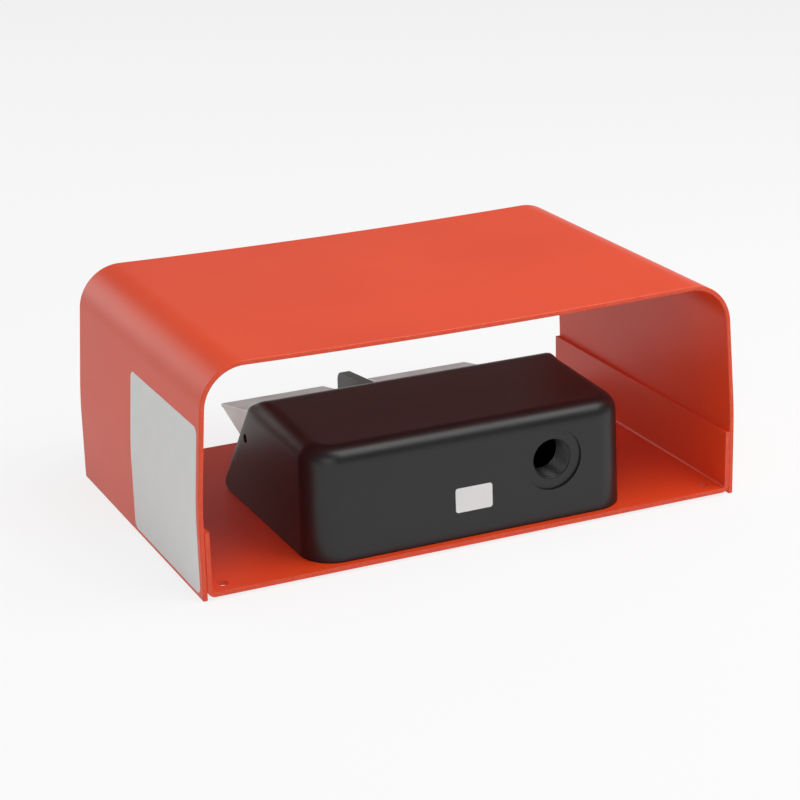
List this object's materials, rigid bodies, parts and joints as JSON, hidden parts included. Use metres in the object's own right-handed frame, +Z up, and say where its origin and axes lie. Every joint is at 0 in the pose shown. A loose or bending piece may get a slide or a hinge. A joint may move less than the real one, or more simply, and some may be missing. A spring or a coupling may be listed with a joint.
{
  "type": "industrial foot switch",
  "caption": "Twin-treadle industrial foot switch: cast housing with a rear threaded cable entry, under a folded sheet-steel guard open front and back.",
  "frame": {"origin": "on the ground, at the middle of the guard's footprint", "axes": "+Z up; -Y towards the operator and the foot opening; +Y towards the cable entry; +X along the guard's width, to the operator's right"},
  "size_m": [0.2955, 0.188, 0.1173],
  "materials": {
    "guard_paint": "orange-red powder coat on steel sheet, fine texture, satin",
    "housing_paint": "satin black paint on a metal casting",
    "treadle_metal": "light grey satin coat on folded sheet",
    "label_vinyl": "white vinyl, semi-gloss",
    "plated_steel": "zinc-plated steel sheet",
    "fastener_steel": "bright zinc-plated steel",
    "spring_steel": "drawn spring wire",
    "nylon": "natural nylon",
    "rubber": "black moulded rubber",
    "switch_plastic": "black phenolic moulding",
    "plunger_plastic": "red moulded plastic",
    "terminal_brass": "brass blade",
    "earth_steel": "green passivated steel screw"
  },
  "bodies": {
    "base": {"guard_hood": "guard_paint", "guard_tray": "guard_paint", "side_label": "label_vinyl", "rear_label": "label_vinyl", "housing": "housing_paint", "base_plate": "plated_steel", "housing_screws": "fastener_steel", "tray_screws": "fastener_steel", "clinch_nuts": "fastener_steel", "treadle_divider": "housing_paint", "divider_screws": "fastener_steel", "pivot_pin": "fastener_steel", "pin_spacers": "plated_steel", "spring_posts": "fastener_steel", "switch_bracket": "plated_steel", "bracket_screws": "fastener_steel", "stop_bumpers": "rubber", "left_switch_case": "switch_plastic", "right_switch_case": "switch_plastic", "left_terminals": "terminal_brass", "right_terminals": "terminal_brass", "switch_screws": "fastener_steel", "switch_nuts": "fastener_steel", "earth_screw": "earth_steel"},
    "left_treadle": {"left_treadle": "treadle_metal", "left_bushes": "nylon", "left_spring_seat": "nylon", "left_return_spring": "spring_steel"},
    "right_treadle": {"right_treadle": "treadle_metal", "right_bushes": "nylon", "right_spring_seat": "nylon", "right_return_spring": "spring_steel"},
    "left_plunger": {"left_plunger": "plunger_plastic"},
    "right_plunger": {"right_plunger": "plunger_plastic"}
  },
  "joints": [
    {"name": "left_treadle_hinge", "type": "hinge", "parent": "base", "child": "left_treadle", "pos_m": [-0.0312, 0, 0.042], "axis": [1, 0, 0], "range_deg": [0, 8], "stiffness_Nm_per_rad": 2, "springref_deg": -8.59, "deforming": ["left_return_spring"]},
    {"name": "right_treadle_hinge", "type": "hinge", "parent": "base", "child": "right_treadle", "pos_m": [0.054, 0, 0.042], "axis": [1, 0, 0], "range_deg": [0, 8], "stiffness_Nm_per_rad": 2, "springref_deg": -8.59, "deforming": ["right_return_spring"]},
    {"name": "left_plunger_slide", "type": "slide", "parent": "base", "child": "left_plunger", "axis": [0, 1, 0], "range_m": [0, 0.0021]},
    {"name": "right_plunger_slide", "type": "slide", "parent": "base", "child": "right_plunger", "axis": [0, 1, 0], "range_m": [0, 0.0021]}
  ],
  "couplings": [
    {"joint": "left_plunger_slide", "follows": "left_treadle_hinge", "m_per_rad": 0.0149},
    {"joint": "right_plunger_slide", "follows": "right_treadle_hinge", "m_per_rad": 0.0149}
  ]
}
